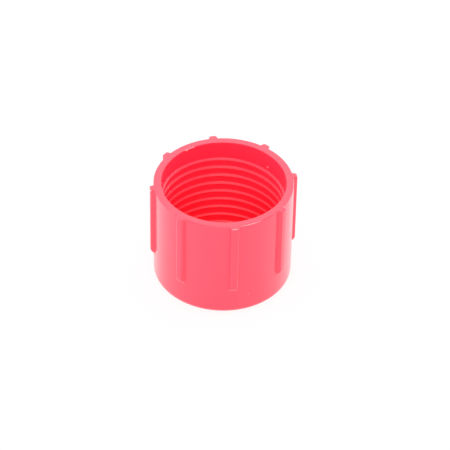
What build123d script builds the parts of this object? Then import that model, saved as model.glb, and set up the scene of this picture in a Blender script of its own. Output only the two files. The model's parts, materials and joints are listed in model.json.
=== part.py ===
from build123d import *
import os
from math import radians, tan

# Threaded protection cap, moulded in one piece. Sizes in millimetres, +Z up out of the mouth,
# origin at the middle of the closed end's outer face, one grip rib on the +X axis.

# Shell
mouth_r = 9.53            # bore's wall, from the mouth down between the turns of the thread
wall = 1.17
height = 17.30
floor_t = 0.85            # closed end
base_edge_r = 0.95        # rounding around the closed end
rim_bevel = 0.12          # around the rim and the tops of the ribs
mouth_bevel = 0.08        # inner edge of the rim
floor_bevel = 0.12        # inside, where the wall meets the floor

# Internal thread, right hand: a V that stands in from the bore's wall, 16 turns to the inch
pitch = 1.5875
thread_height = 0.40
flank_angle = 30.0        # each flank, from the radial direction
lead_in = 2.20            # from the rim down to the upper edge of the thread where it starts
lead_out = 0.17           # from the floor up to the lower edge of the thread where it ends
start_angle = -90.0       # where the thread starts, about +Z from +X
thread_root = 0.15        # how deep the thread reaches into the wall that carries it

# Grip ribs
rib_count = 8
rib_width = 1.44          # where a rib meets the wall
rib_height = 0.62         # how far a rib stands out of the wall
rib_draft = 18.0          # slope of each side, from the radial direction
rib_corner_r = 0.20       # along its two outer edges
rib_bottom = 4.60         # where the slanted lower end meets the wall
rib_slant = 46.0          # slope of the lower end

body_r = mouth_r + wall
rib_root = wall / 2       # how deep a rib reaches into the wall that carries it
overcut = 0.30            # how far a cutter reaches past the face that it cuts
upwards = (Align.CENTER, Align.CENTER, Align.MIN)


def drum():
    """Outside of the cup with its rounded base, the seam turned clear of the ribs."""
    solid = Cylinder(body_r, height, align=upwards)
    solid = fillet(solid.edges().group_by(Axis.Z)[0], base_edge_r)
    return Rotation(0, 0, 180 / rib_count) * solid


def rib():
    """One grip rib on +X: drafted sides, rounded outer edges, lower end slanted back to the wall."""
    inner, outer = body_r - rib_root, body_r + rib_height
    rise = tan(radians(rib_slant))
    side = Polyline(
        (inner, height), (inner, rib_bottom - rib_root * rise),
        (outer, rib_bottom + rib_height * rise), (outer, height), close=True,
    )
    taper = tan(radians(rib_draft))
    half_inner = rib_width / 2 + rib_root * taper
    half_outer = rib_width / 2 - rib_height * taper
    plan = Polyline(
        (inner, -half_inner), (outer, -half_outer), (outer, half_outer), (inner, half_inner), close=True,
    )
    bar = extrude(Plane.XZ * make_face(side), rib_width, both=True) & extrude(make_face(plan), height)
    outer_edges = bar.edges().filter_by(Axis.Z).group_by(Axis.X)[-1]
    return fillet(outer_edges, rib_corner_r)


def bore():
    """Cutter for the bore, bevelled where the wall meets the floor.

    Half a turn puts its seam on -X, clear of both ends of the thread.
    """
    drill = Pos(0, 0, floor_t) * Cylinder(mouth_r, height - floor_t + overcut, align=upwards)
    return Rotation(0, 0, 180) * chamfer(drill.edges().group_by(Axis.Z)[0], floor_bevel)


def thread():
    """The thread: one V swept up a helix on the bore's wall, its back sunk into the wall."""
    slope = tan(radians(flank_angle))
    half_width = thread_height * slope
    low = floor_t + lead_out + half_width
    high = height - lead_in - half_width
    back_half = half_width + thread_root * slope
    section = Polyline(
        (mouth_r + thread_root, -back_half), (mouth_r - thread_height, 0),
        (mouth_r + thread_root, back_half), close=True,
    )
    path = Helix(pitch=pitch, height=high - low, radius=mouth_r)
    ridge = sweep(Plane.XZ * make_face(section), path=path, is_frenet=True)
    end_angle = start_angle - 360 * (high - low) / pitch
    return Location((0, 0, low), (0, 0, end_angle)) * ridge


def cap():
    """The whole moulding: ribbed drum, bore, then the thread on the bore's wall."""
    solid = drum() + PolarLocations(0, rib_count) * rib()
    solid = chamfer(solid.edges().group_by(Axis.Z)[-1], rim_bevel)
    solid -= bore()
    mouth_edge = solid.edges().group_by(Axis.Z)[-1].filter_by(
        lambda edge: edge.geom_type == GeomType.CIRCLE and abs(edge.radius - mouth_r) < 1e-6
    )
    return chamfer(mouth_edge, mouth_bevel) + thread()


os.makedirs("parts", exist_ok=True)
export_step(cap(), "parts/cap.step")
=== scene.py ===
"""Looks of the threaded protection cap: its moulded skin, flash, flecks, floor, light and camera.

Everything is in metres, +Z up out of the mouth, angles about +Z from +X. The camera looks along +Y
and down, so left is -X and back is +Y.
"""

import json
from math import cos, floor, pi, radians, sin, tan

import bmesh
import bpy
import numpy as np
from mathutils import Matrix, Vector


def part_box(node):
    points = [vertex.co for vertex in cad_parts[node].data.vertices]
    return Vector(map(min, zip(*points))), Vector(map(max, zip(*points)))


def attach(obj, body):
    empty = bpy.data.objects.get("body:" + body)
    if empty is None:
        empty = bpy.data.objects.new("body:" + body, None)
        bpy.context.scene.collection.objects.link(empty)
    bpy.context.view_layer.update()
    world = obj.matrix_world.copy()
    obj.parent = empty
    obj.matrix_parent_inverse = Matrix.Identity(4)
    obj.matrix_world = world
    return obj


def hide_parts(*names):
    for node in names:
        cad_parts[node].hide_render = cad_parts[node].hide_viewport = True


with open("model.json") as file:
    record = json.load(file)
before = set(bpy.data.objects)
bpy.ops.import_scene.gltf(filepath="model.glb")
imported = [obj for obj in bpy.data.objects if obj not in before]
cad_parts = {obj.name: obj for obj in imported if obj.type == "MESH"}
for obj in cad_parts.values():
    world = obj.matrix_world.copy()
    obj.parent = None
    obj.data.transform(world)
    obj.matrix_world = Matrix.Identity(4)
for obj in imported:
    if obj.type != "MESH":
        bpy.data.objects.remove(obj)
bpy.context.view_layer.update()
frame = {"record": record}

MM = 0.001

# Sizes that the frame gives
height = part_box("cap")[1][2]
rib_tip_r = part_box("cap")[1][0]
bore_mount = next(m for m in frame["record"]["mounts"] if m["name"] == "thread_bore")
mouth_r = bore_mount["dims"]["r_mm"] * MM

# Shell
rib_height = 0.62 * MM        # how far a rib stands out of the wall
body_r = rib_tip_r - rib_height
floor_t = 0.85 * MM           # closed end
base_edge_r = 0.95 * MM       # rounding around the closed end
rim_edge_r = 0.15 * MM        # around the rim and the tops of the ribs
mouth_edge_r = 0.08 * MM      # inner edge of the rim
floor_bevel = 0.12 * MM       # inside, where the wall meets the floor

# Grip ribs
rib_count = 8
rib_width = 1.44 * MM         # where a rib meets the wall
rib_draft = radians(18)       # slope of each side, from the radial direction
rib_corner_r = 0.24 * MM      # along its two outer edges
rib_foot_r = 0.06 * MM        # where its sides meet the wall
rib_bottom = 4.60 * MM        # where the slanted lower end meets the wall
rib_slant = radians(46)       # slope of the lower end
rib_blend = 0.16 * MM         # how far either side of its edges the slant is rounded

# Internal thread, right hand
pitch = 1.5875 * MM
thread_height = 0.40 * MM     # of the sharp V
thread_crest = 0.04 * MM      # how widely its crest is rounded
thread_root = 0.04 * MM       # how widely its roots are rounded
flank = tan(radians(30))      # slope of each flank, from the radial direction
thread_low = 1.25 * MM        # height of its middle where it ends above the floor
thread_high = 14.87 * MM      # height of its middle where it starts below the mouth
thread_start = radians(-90)   # angle where it starts
run_out = radians(18)         # angle over which each end sinks into the wall

# Rows and columns of the meshes
WALL_COLUMNS = 13             # between two ribs
RIB_EDGE_POINTS = 7           # round each edge of a rib's section
BASE_EDGE_ROWS = 9
FIRST_WALL_ROW = 1.6 * base_edge_r
RIB_END_ROWS = 18             # up the slanted lower end of the ribs
RIM_EDGE_ROWS = 6
MOUTH_EDGE_ROWS = 5
RIM_RING = 0.12 * MM          # from the rim's rounded edge in to the flat rim's first ring
RIM_SHARES = np.array([0.0, 0.3, 0.6, 0.9])    # rings from that one towards the mouth's edge
FLOOR_RING = 0.97             # of the flat floor's radius, a ring that keeps its shading flat
# Up the bore from the thread's middle: close over the thread, then wide over the land above it
THREAD_ROWS = MM * np.array([
    -0.20, -0.14, -0.09, -0.05, -0.02, 0.02, 0.05, 0.09, 0.14, 0.20, 0.26, 0.32, 0.42,
    0.66, 0.92, 1.18, 1.27,
])
BEAD_SIDES = 8
BEAD_STATIONS = 64
BEAD_WAVER = ((31, 1), (53, 2), (83, 0))    # each sine's turn along a bead and its start, in radians
BEAD_WANDER = (67, 1)         # the same for the bead's height
BEAD_WANDER_HEIGHT = 0.4      # of the bead's half height
FLECK_ROWS = 9
FLECK_SIDES = 12
JOIN = 1e-6                   # points nearer than this are one
SLIVER = 1e-8                 # edges shorter than this are taken out
TINY = 1e-12                  # stands for a reach of 0

# Red polyethylene, colours in linear light
DEEP_RED = (0.98, 0.029, 0.078, 1)
LIGHT_RED = (0.99, 0.037, 0.093, 1)
CLOUD_SIZE = 3.0 * MM
CLOUD_DETAIL = 3.0
CLOUD_TONE = 0.8              # how far the clouds carry the colour from the deep red to the light
GRAIN_SIZE = 0.3 * MM
GRAIN_DETAIL = 2.0
GRAIN_TONE = 0.4              # the same for the grains
SINK_DEPTH = 0.005 * MM
GRAIN_DEPTH = 0.0012 * MM
PLASTIC_IOR = 1.5
ROUGH = 0.28
BORE_ROUGH = 0.45
COAT = 0.85
BORE_COAT = 0.30
COAT_ROUGH = 0.20

# Flash and flecks
FLASH_RED = (0.98, 0.20, 0.26, 1)
FLASH_PALE = (0.99, 0.58, 0.60, 1)
FLASH_PATCH = 0.4 * MM
FLASH_DETAIL = 2.0
FLASH_CONTRAST = 2.0
FLASH_ROUGH = 0.5

NOISE_ROUGHNESS = 0.55        # how strong each finer layer of a noise is beside the one before

# Camera: distances in radii of the body, lens and sensor in millimetres
CAMERA_AWAY = 35.32
CAMERA_ASIDE = 0.0292         # to its right
CAMERA_ELEVATION = radians(40.43)
CAMERA_AZIMUTH = radians(-99.5)
CAMERA_ROLL = radians(-1.0987)
CAMERA_LENS = 196.2
CAMERA_SENSOR = 36.0
CAMERA_CLIP = (0.01, 10.0)

# Floor and light
FLOOR_REACH = 1.0             # from its middle to each side
FLOOR_GREY = (0.9, 0.9, 0.9, 1)
FLOOR_ROUGH = 0.9
FLOOR_WHITE = 0.86            # share of plain white where it is seen, the rest takes the shadow
WHITE = (1, 1, 1, 1)
WORLD_LIGHT = 0.80
SOFTBOXES = (                 # name, place, strength for its size, side
    ("softbox_left", (-0.41, 0.0, 0.10), 2.7, 0.3),
    ("softbox_left_back", (-0.30, 0.28, 0.10), 1.5, 0.3),
    ("softbox_right", (0.40, 0.02, 0.12), 2.1, 0.3),
    ("softbox_right_back", (0.30, 0.28, 0.10), 2.0, 0.3),
    ("softbox_above", (0.0, -0.08, 0.45), 0.12, 0.45),
    ("softbox_front", (-0.05, -0.30, 0.33), 2.0, 0.3),
    ("softbox_back", (0.0, 0.33, 0.28), 0.45, 0.3),
)
DIFFUSE_BOUNCES = 12          # light goes to and fro many times inside the cup
ALL_BOUNCES = 16


# ---------------------------------------------------------------- shape of the moulding

def soft_floor(values, reach):
    """The larger of each value and 0, rounded over reach either side of 0 by a parabola."""
    parabola = (values + reach) ** 2 / (4 * reach)
    return np.where(values > reach, values, np.where(values < -reach, 0.0, parabola))


def soft_lesser(first, second, reach):
    """The lesser of two values, rounded where they are within reach of each other."""
    reach = np.maximum(reach, TINY)
    share = np.clip(0.5 + 0.5 * (second - first) / reach, 0, 1)
    return second * (1 - share) + first * share - reach * share * (1 - share)


def rounded(corners, radii, steps):
    """A polyline's inner corners turned into arcs, without its first and last points.

    Each arc's middle lies on its corner's bisector, r / sin(half the corner's angle) away, and
    each arc starts and ends r / tan(half the corner's angle) before and after its corner.
    """
    arcs = []
    for before, corner, after, radius in zip(corners, corners[1:], corners[2:], radii):
        to_before = (before - corner) / np.linalg.norm(before - corner)
        to_after = (after - corner) / np.linalg.norm(after - corner)
        half_open = 0.5 * np.arccos(np.dot(to_before, to_after))
        bisector = (to_before + to_after) / np.linalg.norm(to_before + to_after)
        middle = corner + bisector * radius / np.sin(half_open)
        start = corner + to_before * radius / np.tan(half_open) - middle
        end = corner + to_after * radius / np.tan(half_open) - middle
        share = np.linspace(0, 1, steps)[:, None]
        swept = pi - 2 * half_open
        arc = np.sin((1 - share) * swept) * start + np.sin(share * swept) * end
        arcs.append(middle + arc / np.sin(swept))
    return np.concatenate(arcs)


def rib_section():
    """Half a rib's outline from the wall to its middle, as (distance from the middle, height).

    A drafted side between a small rounding at its foot and a larger one at its outer corner.
    """
    foot = rib_width / 2
    top = foot - rib_height * tan(rib_draft)
    corners = np.array([(2 * foot, 0), (foot, 0), (top, rib_height), (0, rib_height)])
    side = rounded(corners, (rib_foot_r, rib_corner_r), RIB_EDGE_POINTS)
    return np.append(side[:, 0], 0.0), np.append(side[:, 1], rib_height)


def outline():
    """The wall's outline seen from above: each column's angle and how far it stands out of the wall.

    A point of a rib's section that lies x from its middle and h out of the wall has the angle
    x / (body_r + h) from the rib's own. The columns between two ribs are evenly spaced.
    """
    x, out = rib_section()
    x = np.concatenate([-x, x[-2::-1]])
    out = np.concatenate([out, out[-2::-1]])
    rib_angle = x / (body_r + out)
    gap = 2 * pi / rib_count + rib_angle[0] - rib_angle[-1]
    wall_angle = rib_angle[-1] + gap * np.arange(1, WALL_COLUMNS + 1) / (WALL_COLUMNS + 1)
    angle = np.concatenate([rib_angle, wall_angle])
    out = np.concatenate([out, np.zeros(WALL_COLUMNS)])
    starts = 2 * pi * np.arange(rib_count) / rib_count
    return (starts[:, None] + angle[None, :]).ravel(), np.tile(out, rib_count)


def around(angle, radius, z):
    """Points at an angle and radius about the cap's axis and a height z, arrays of one shape."""
    angle, radius, z = np.broadcast_arrays(angle, radius, z)
    return np.stack([radius * np.cos(angle), radius * np.sin(angle), z], axis=-1)


def outer_wall(angle, out):
    """Rows from the middle of the base, round its edge, up the ribbed wall and over the rim's edge.

    How far the wall stands out is the lesser of the outline's and the ramp of the ribs' slanted
    ends. The rim's edge moves each outline point inwards along the outline's normal by
    r (1 - cos a) as it climbs r sin a.
    """
    turn = np.linspace(0, pi / 2, BASE_EDGE_ROWS)
    base_r = np.concatenate([[0.0, body_r / 2], body_r - base_edge_r * (1 - np.sin(turn))])
    base_z = np.concatenate([[0.0, 0.0], base_edge_r * (1 - np.cos(turn))])
    base = around(angle[None, :], base_r[:, None], base_z[:, None])

    rise = tan(rib_slant)
    end_top = rib_bottom + rib_height * rise
    rim_z = height - rim_edge_r
    margin = 2 * rib_blend
    z = np.concatenate([
        [FIRST_WALL_ROW],
        np.linspace(rib_bottom - margin, end_top + margin, RIB_END_ROWS),
        [(end_top + rim_z) / 2, rim_z - rim_edge_r],
    ])[:, None]
    ramp = soft_floor((z - rib_bottom) / rise, rib_blend)
    stand = soft_lesser(out[None, :], ramp, np.minimum(rib_blend, out)[None, :])
    wall = around(angle[None, :], body_r + stand, z)

    top = around(angle, body_r + out, rim_z)
    along = np.roll(top, -1, axis=0) - np.roll(top, 1, axis=0)
    inward = np.stack([-along[:, 1], along[:, 0], 0 * along[:, 0]], axis=-1)
    inward /= np.linalg.norm(inward, axis=1)[:, None]
    bend = np.linspace(0, pi / 2, RIM_EDGE_ROWS)[:, None, None]
    edge = top[None] + inward[None] * rim_edge_r * (1 - np.cos(bend))
    edge[:, :, 2] = rim_z + rim_edge_r * np.sin(bend[:, :, 0])
    return np.concatenate([base, wall, edge])


def rim_and_mouth(rim_outer, mouth_angle, z_top):
    """Rows from the outline to a ring inside the ribs' feet, over the flat rim and into the mouth.

    The mouth's edge is a quarter circle: its radius is mouth_r + r (1 - sin a) and its depth below
    the rim r (1 - cos a). The last row is the top of the threaded ribbon.
    """
    bend = np.linspace(0, pi / 2, MOUTH_EDGE_ROWS)
    radius = mouth_r + mouth_edge_r * (1 - np.sin(bend))
    z = height - mouth_edge_r * (1 - np.cos(bend))
    mouth = around(mouth_angle[None, :], radius[:, None], z[:, None])
    outer_angle = np.arctan2(rim_outer[:, 1], rim_outer[:, 0])
    ring = around(outer_angle, body_r - rim_edge_r - RIM_RING, height)
    share = RIM_SHARES[:, None, None]
    flat = ring[None] * (1 - share) + mouth[:1] * share
    last = around(mouth_angle, mouth_r, z_top)[None]
    return np.concatenate([rim_outer[None], flat, mouth, last])


def threaded_ribbon(columns):
    """The bore's wall as one ribbon, a pitch wide, wound up from the floor to the mouth.

    Its first turn widens from nothing and its last narrows to nothing, so both its ends are level.
    The thread stands inwards at one height up the ribbon, and its height over the wall is
    soft_floor(H - sqrt(offset^2 + crest^2) / flank), a V with a rounded crest and rounded roots.
    At its two ends it is faded by f^2 (3 - 2 f), with f the share of the run-out.
    """
    z_low = floor_t + floor_bevel
    z_mouth = height - mouth_edge_r
    middle = thread_low - z_low
    rows = np.concatenate([[0.0], middle + THREAD_ROWS, [pitch]])
    wound = int(floor(columns * (z_mouth - z_low) / pitch))
    turns = wound / columns
    length = 2 * pi * (thread_high - thread_low) / pitch
    count = np.arange(wound + columns + 1)
    angle = thread_start - length + 2 * pi * count / columns
    free_lower = z_low + pitch * (count / columns - 1)
    lower = np.maximum(z_low, free_lower)
    upper = z_low + pitch * np.minimum(count / columns, turns)
    z = lower[None, :] + (rows / pitch)[:, None] * (upper - lower)[None, :]

    above_middle = z - free_lower[None, :] - middle
    turn = np.round(above_middle / pitch)
    offset = above_middle - turn * pitch
    stand = soft_floor(thread_height - np.sqrt(offset**2 + thread_crest**2) / flank, thread_root)
    along = 2 * pi * (count[None, :] / columns - 1 + turn)
    fade = np.clip(np.minimum(along, length - along) / run_out, 0, 1)
    fade = fade * fade * (3 - 2 * fade)
    points = around(angle[None, :], mouth_r - stand * fade, z)
    return points, angle[:columns], z_low + pitch * turns


def cup_floor(angle):
    """Rows from the threaded ribbon's foot, down the bevel and across the floor to its middle."""
    flat_r = mouth_r - floor_bevel
    z = np.array([floor_t + floor_bevel, floor_t, floor_t, floor_t])
    radius = np.array([mouth_r, flat_r, FLOOR_RING * flat_r, 0.0])
    return around(angle[None, :], radius[:, None], z[:, None])


def grid_faces(rows, columns, closed, first):
    """Corner numbers of a grid's quads, the last column joined to the first where it is closed."""
    steps = columns if closed else columns - 1
    i, j = np.meshgrid(np.arange(rows - 1), np.arange(steps), indexing="ij")
    k = (j + 1) % columns
    here, above = i * columns, (i + 1) * columns
    quads = np.stack([here + j, here + k, above + k, above + j], axis=-1)
    return quads.reshape(-1, 4) + first


def mesh_object(name, grids):
    """One object from several grids of points, their shared edges merged."""
    points, quads, first = [], [], 0
    for grid, closed in grids:
        rows, columns = grid.shape[:2]
        points.append(grid.reshape(-1, 3))
        quads.append(grid_faces(rows, columns, closed, first))
        first += rows * columns
    mesh = bpy.data.meshes.new(name)
    mesh.from_pydata(np.concatenate(points), [], np.concatenate(quads).tolist())
    work = bmesh.new()
    work.from_mesh(mesh)
    bmesh.ops.remove_doubles(work, verts=work.verts, dist=JOIN)
    bmesh.ops.dissolve_degenerate(work, edges=work.edges, dist=SLIVER)
    work.to_mesh(mesh)
    work.free()
    mesh.shade_smooth()
    piece = bpy.data.objects.new(name, mesh)
    bpy.context.scene.collection.objects.link(piece)
    return piece


def moulding():
    """The whole cap as one closed skin.

    The rim joins the outline's columns to the ribbon's, each to the one nearest in angle.
    """
    angle, out = outline()
    outer = outer_wall(angle, out)
    ribbon, ring, z_top = threaded_ribbon(len(angle))
    nearest = int(round((angle[0] - ring[0]) / (2 * pi) * len(angle)))
    mouth_angle = ring[0] + 2 * pi * (np.arange(len(angle)) + nearest) / len(angle)
    rim = rim_and_mouth(outer[-1], mouth_angle, z_top)
    piece = mesh_object("cap_moulding", [
        (outer, True), (rim, True), (ribbon[::-1], False), (cup_floor(ring), True),
    ])
    piece.modifiers.new("even shading", "WEIGHTED_NORMAL")
    return piece


# ---------------------------------------------------------------- flash and flecks

def tapered_bead(start, end, radius, z, half_width, half_height, unevenness):
    """A thin bead of flash around the axis, between two angles in degrees, pointed at both ends.

    Its section is an ellipse. Both half axes grow from the ends as sqrt(4 s (1 - s)) and waver by
    three sines of the share s along it, whose waves don't fit one another. Its height wanders too.
    """
    share = np.linspace(0, 1, BEAD_STATIONS)
    waver = sum(np.sin(turn * share + begin) for turn, begin in BEAD_WAVER) / len(BEAD_WAVER)
    swell = np.sqrt(4 * share * (1 - share)) * (1 + unevenness * waver)
    angle = radians(start) + radians(end - start) * share
    turn, begin = BEAD_WANDER
    path = z + BEAD_WANDER_HEIGHT * half_height * np.sin(turn * share + begin)
    section = -2 * pi * np.arange(BEAD_SIDES) / BEAD_SIDES
    out = radius + half_width * swell[None, :] * np.cos(section)[:, None]
    up = path[None, :] + half_height * swell[None, :] * np.sin(section)[:, None]
    return around(angle[None, :], out, up).transpose(1, 0, 2)


def fleck(angle, radius, z, across, along, thick):
    """A low lump on a wall: a ball squashed to its three half axes, its poles on the cap's radius.

    The angle is in degrees. At a from its outer pole and b round it, a point lies thick cos a
    outwards, across sin a cos b sideways and along sin a sin b upwards.
    """
    polar = np.linspace(0, pi, FLECK_ROWS)[:, None]
    turn = -2 * pi * np.arange(FLECK_SIDES)[None, :] / FLECK_SIDES
    sideways = across * np.sin(polar) * np.cos(turn)
    upwards = along * np.sin(polar) * np.sin(turn)
    return around(radians(angle) + sideways / radius, radius + thick * np.cos(polar), z + upwards)


def flash_on_mouth():
    """Pale flash along the mouth's inner edge at the back left, thickest near its left end."""
    z = height - 0.05 * MM
    thin_r = mouth_r + 0.02 * MM
    thick_r = mouth_r - 0.02 * MM
    return mesh_object("flash_on_mouth", [
        (tapered_bead(108.6, 121.0, thin_r, z, 0.08 * MM, 0.07 * MM, 0.7), True),
        (tapered_bead(117.0, 119.3, thick_r, z, 0.20 * MM, 0.09 * MM, 0.3), True),
    ])


def flash_on_rim():
    """Pale flash on the rim's outer edge: over the front rib's end and on along the wall beside it."""
    z = height - 0.055 * MM
    rib_r = rib_tip_r - 0.08 * MM
    edge_r = body_r - 0.05 * MM
    return mesh_object("flash_on_rim", [
        (tapered_bead(-92.9, -87.9, rib_r, z, 0.09 * MM, 0.08 * MM, 0.5), True),
        (tapered_bead(-87.0, -65.0, edge_r, z, 0.05 * MM, 0.05 * MM, 0.35), True),
    ])


def flecks():
    """Pale flecks: on two ribs, in the bore and on the outer wall.

    Each is its angle in degrees and the radius where it sits, then its height and its half axes
    across, along and out of the wall, in millimetres.
    """
    rib_r = rib_tip_r - 0.08 * MM
    wall_r = body_r - 0.02 * MM
    bore_r = mouth_r - 0.01 * MM
    places = [
        (-177.5, rib_r, 17.2, 0.22, 0.09, 0.09),
        (35.5, bore_r, 14.8, 0.12, 0.16, 0.06),
        (137.5, bore_r, 10.6, 0.07, 0.09, 0.05),
        (-43.0, rib_r, 5.9, 0.13, 0.10, 0.09),
        (-77.0, wall_r, 3.4, 0.05, 0.09, 0.04),
        (-70.5, wall_r, 5.8, 0.05, 0.04, 0.04),
    ]
    return mesh_object("flecks", [
        (fleck(angle, radius, *(size * MM for size in sizes)), True) for angle, radius, *sizes in places
    ])


# ---------------------------------------------------------------- materials

class Field:
    """A shader socket used like a number: each operator adds the Math node that works it out."""

    def __init__(self, tree, socket=None):
        self.tree = tree
        self.socket = socket

    def node(self, kind, settings, sockets, output=0):
        """A new node of a kind: its settings first, then values or links for its sockets."""
        made = self.tree.nodes.new(kind)
        for name, value in settings.items():
            setattr(made, name, value)
        for name, value in sockets.items():
            if isinstance(value, Field):
                self.tree.links.new(value.socket, made.inputs[name])
            else:
                made.inputs[name].default_value = value
        return Field(self.tree, made.outputs[output] if len(made.outputs) else None)

    def math(self, operation, first, second):
        """A Math node's answer for two values or sockets."""
        return self.node("ShaderNodeMath", {"operation": operation}, {0: first, 1: second})

    def __add__(self, other):
        return self.math("ADD", self, other)

    def __sub__(self, other):
        return self.math("SUBTRACT", self, other)

    def __rsub__(self, other):
        return self.math("SUBTRACT", other, self)

    def __mul__(self, other):
        return self.math("MULTIPLY", self, other)

    def __gt__(self, other):
        return self.math("GREATER_THAN", self, other)

    def __or__(self, other):
        return self.math("MAXIMUM", self, other)

    __radd__ = __add__
    __rmul__ = __mul__
    __ror__ = __or__


def empty_tree(owner):
    """An owner's node tree, cleared, as a Field to build on."""
    owner.use_nodes = True
    owner.node_tree.nodes.clear()
    return Field(owner.node_tree)


def noise(place, size, detail):
    """Soft noise from 0 to 1, about 0.5, whose clouds are about a given size."""
    return place.node("ShaderNodeTexNoise", {}, {
        "Vector": place, "Scale": 1 / size, "Detail": detail, "Roughness": NOISE_ROUGHNESS,
    })


def colour_between(first, second, share):
    """The colour that lies a share of the way from a first to a second.

    A Mix node's colours are its sockets 6 and 7, and its mixed colour is its output 2.
    """
    return share.node("ShaderNodeMix", {"data_type": "RGBA"}, {"Factor": share, 6: first, 7: second}, 2)


def bump(field, depth, under=None):
    """A surface normal raised and sunk by a field over a depth, on top of one that may lie under it."""
    sockets = {"Strength": 1.0, "Distance": depth, "Height": field}
    if under is not None:
        sockets["Normal"] = under
    return field.node("ShaderNodeBump", {}, sockets)


def red_polyethylene():
    """Red polyethylene with the gloss of a polished mould under a thin clear skin.

    Colour drifts between a deep and a light red in large soft clouds and small grains. The gloss is
    weaker and duller in the bore, which lies inside the mouth's rounded edge. The skin has shallow
    sink waves and a fine grain.
    """
    material = bpy.data.materials.new("red polyethylene")
    tree = empty_tree(material)
    place = tree.node("ShaderNodeTexCoord", {}, {}, "Object")
    clouds = noise(place, CLOUD_SIZE, CLOUD_DETAIL)
    grain = noise(place, GRAIN_SIZE, GRAIN_DETAIL)
    tone = (clouds - 0.5) * CLOUD_TONE + (grain - 0.5) * GRAIN_TONE + 0.5
    flat = tree.node("ShaderNodeVectorMath", {"operation": "MULTIPLY"}, {0: place, 1: (1, 1, 0)})
    from_axis = tree.node("ShaderNodeVectorMath", {"operation": "LENGTH"}, {0: flat}, "Value")
    outside = from_axis > mouth_r + mouth_edge_r / 2
    waves = bump(clouds, SINK_DEPTH)
    shader = tree.node("ShaderNodeBsdfPrincipled", {}, {
        "Base Color": colour_between(DEEP_RED, LIGHT_RED, tone),
        "Roughness": outside * (ROUGH - BORE_ROUGH) + BORE_ROUGH,
        "Normal": bump(grain, GRAIN_DEPTH, waves),
        "IOR": PLASTIC_IOR,
        "Coat Weight": outside * (COAT - BORE_COAT) + BORE_COAT,
        "Coat Roughness": COAT_ROUGH,
    })
    tree.node("ShaderNodeOutputMaterial", {}, {"Surface": shader})
    return material


def pale_flash():
    """Thin torn edges and flecks of the same plastic, pale where it was stretched."""
    material = bpy.data.materials.new("pale flash")
    tree = empty_tree(material)
    place = tree.node("ShaderNodeTexCoord", {}, {}, "Object")
    patches = noise(place, FLASH_PATCH, FLASH_DETAIL)
    shader = tree.node("ShaderNodeBsdfPrincipled", {}, {
        "Base Color": colour_between(FLASH_RED, FLASH_PALE, (patches - 0.5) * FLASH_CONTRAST + 0.5),
        "Roughness": FLASH_ROUGH,
        "IOR": PLASTIC_IOR,
    })
    tree.node("ShaderNodeOutputMaterial", {}, {"Surface": shader})
    return material


# ---------------------------------------------------------------- camera, floor and light

def aim_camera():
    """Long lens from above, turned so that one rib faces the camera a little to its right."""
    ahead = cos(CAMERA_ELEVATION)
    back = Vector((
        ahead * cos(CAMERA_AZIMUTH), ahead * sin(CAMERA_AZIMUTH), sin(CAMERA_ELEVATION),
    ))
    right = Vector((-sin(CAMERA_AZIMUTH), cos(CAMERA_AZIMUTH), 0))
    up = back.cross(right)
    view = Matrix((right, up, back)).transposed() @ Matrix.Rotation(-CAMERA_ROLL, 3, "Z")
    data = bpy.data.cameras.new("camera")
    data.sensor_width = CAMERA_SENSOR
    data.lens = CAMERA_LENS
    data.clip_start, data.clip_end = CAMERA_CLIP
    camera = bpy.data.objects.new("camera", data)
    middle = Vector((0, 0, height / 2))
    place = middle + right * (CAMERA_ASIDE * body_r) + back * (CAMERA_AWAY * body_r)
    camera.matrix_world = Matrix.Translation(place) @ view.to_4x4()
    bpy.context.scene.collection.objects.link(camera)
    bpy.context.scene.camera = camera


def seen_directly(tree):
    """1 for rays from the camera and for mirrored or passed rays, 0 for those that light things."""
    camera_ray = tree.node("ShaderNodeLightPath", {}, {}, "Is Camera Ray")
    glossy_ray = tree.node("ShaderNodeLightPath", {}, {}, "Is Glossy Ray")
    clear_ray = tree.node("ShaderNodeLightPath", {}, {}, "Is Transmission Ray")
    return camera_ray | glossy_ray | clear_ray


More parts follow.
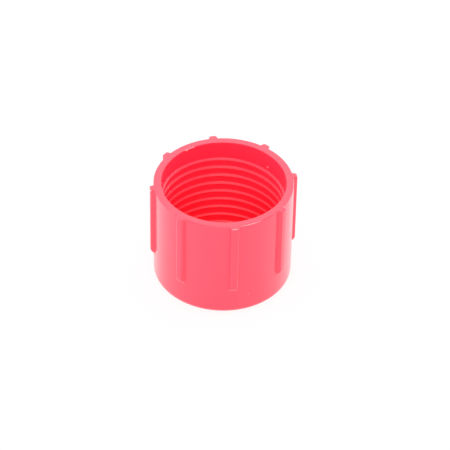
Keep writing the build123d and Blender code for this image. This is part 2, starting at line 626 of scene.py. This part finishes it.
def white_floor():
    """A white sweep that keeps a trace of the cap's shadow: mostly plain white where it is seen."""
    mesh = bpy.data.meshes.new("floor")
    far = FLOOR_REACH
    corners = [(-far, -far, 0), (far, -far, 0), (far, far, 0), (-far, far, 0)]
    mesh.from_pydata(corners, [], [(0, 1, 2, 3)])
    ground = bpy.data.objects.new("floor", mesh)
    bpy.context.scene.collection.objects.link(ground)
    material = bpy.data.materials.new("white sweep")
    tree = empty_tree(material)
    matt = tree.node(
        "ShaderNodeBsdfPrincipled", {}, {"Base Color": FLOOR_GREY, "Roughness": FLOOR_ROUGH}
    )
    white = tree.node("ShaderNodeEmission", {}, {"Color": WHITE, "Strength": 1.0})
    share = seen_directly(tree) * FLOOR_WHITE
    mixed = tree.node("ShaderNodeMixShader", {}, {0: share, 1: matt, 2: white})
    tree.node("ShaderNodeOutputMaterial", {}, {"Surface": mixed})
    mesh.materials.append(material)


def white_studio():
    """Soft light from all round, seen as plain white."""
    world = bpy.data.worlds.new("studio")
    bpy.context.scene.world = world
    tree = empty_tree(world)
    light = tree.node("ShaderNodeBackground", {}, {"Color": WHITE, "Strength": WORLD_LIGHT})
    white = tree.node("ShaderNodeBackground", {}, {"Color": WHITE, "Strength": 1.0})
    mixed = tree.node("ShaderNodeMixShader", {}, {0: seen_directly(tree), 1: light, 2: white})
    tree.node("ShaderNodeOutputWorld", {}, {"Surface": mixed})


def softbox(name, place, strength, side):
    """A square soft lamp of a given strength for its size, facing the cap."""
    data = bpy.data.lights.new(name, "AREA")
    data.shape = "SQUARE"
    data.size = side
    data.energy = strength * pi * side**2
    lamp = bpy.data.objects.new(name, data)
    place = Vector(place)
    turn = (place - Vector((0, 0, height / 2))).to_track_quat("Z", "Y")
    lamp.matrix_world = Matrix.Translation(place) @ turn.to_matrix().to_4x4()
    bpy.context.scene.collection.objects.link(lamp)


# ---------------------------------------------------------------- the cap in its studio

cap = moulding()
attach(cap, "root")
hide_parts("cap")
cap.data.materials.append(red_polyethylene())

flash_skin = pale_flash()
for piece in (flash_on_mouth(), flash_on_rim(), flecks()):
    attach(piece, "root")
    piece.data.materials.append(flash_skin)

aim_camera()
white_floor()
white_studio()
for lamp in SOFTBOXES:
    softbox(*lamp)

bpy.context.scene.cycles.diffuse_bounces = DIFFUSE_BOUNCES
bpy.context.scene.cycles.max_bounces = ALL_BOUNCES
bpy.context.scene.view_settings.view_transform = "Standard"
